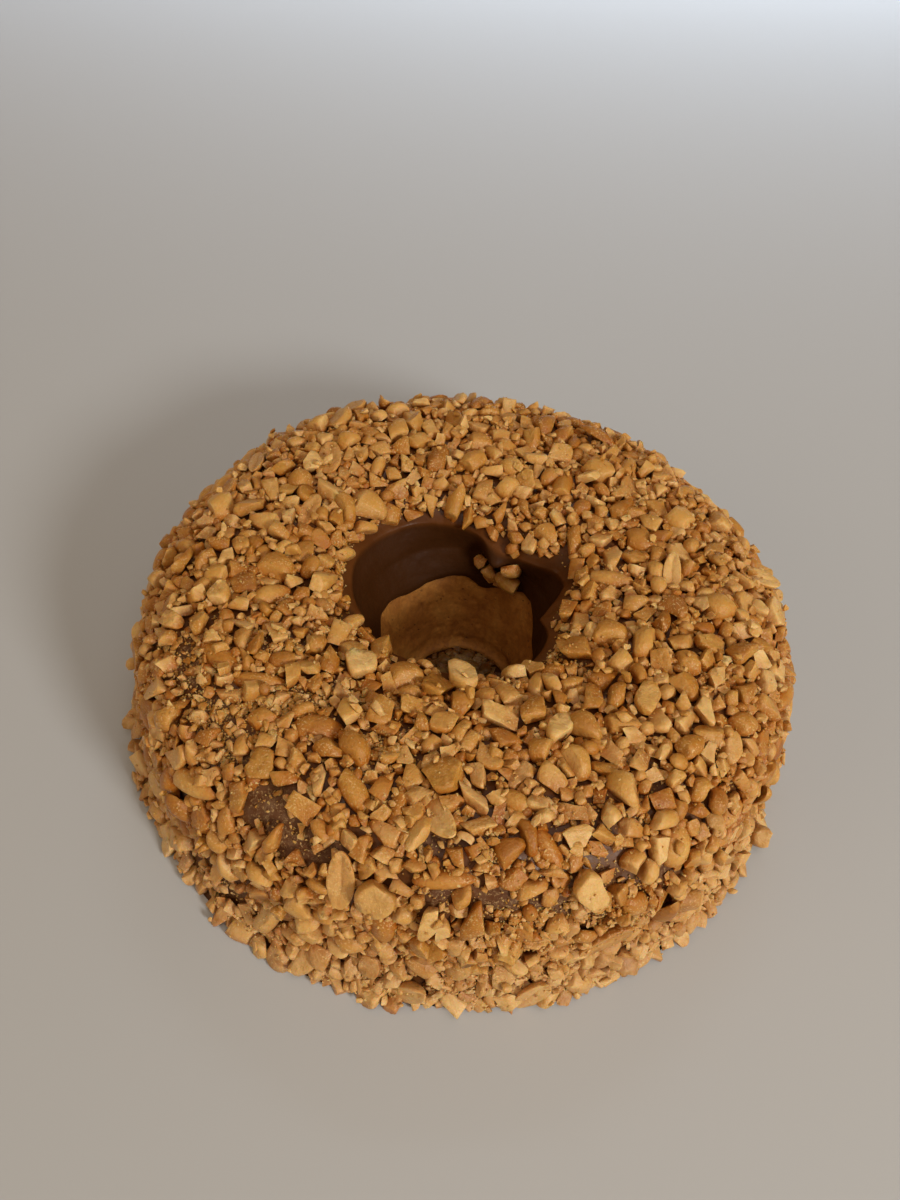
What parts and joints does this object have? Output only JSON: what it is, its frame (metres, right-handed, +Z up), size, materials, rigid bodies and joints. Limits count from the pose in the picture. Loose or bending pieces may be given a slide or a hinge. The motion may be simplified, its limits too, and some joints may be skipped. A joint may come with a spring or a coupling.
{
  "type": "ring cake with a chocolate and chopped nut coat",
  "caption": "Round ring cake with a tapered centre hole, coated in chocolate spread and chopped roasted nuts, standing on its flat underside.",
  "frame": {"origin": "on the flat underside, at the middle of the cake's round outline", "axes": "+Z up along the hole's axis, -Y towards the front of the picture, +X to its right"},
  "size_m": [0.207, 0.2062, 0.0593],
  "materials": {
    "sponge": "baked golden brown sponge crust, matt and slightly porous",
    "nut_coat": "soft glossy milk chocolate spread, nearly covered by chopped roasted peanuts in tan and gold",
    "chocolate": "soft glossy milk chocolate spread, bare round the rim and on the wall of the hole"
  },
  "bodies": {
    "root": {"sponge_ring": "sponge", "nut_coat": "nut_coat", "hole_chocolate": "chocolate"}
  },
  "joints": []
}
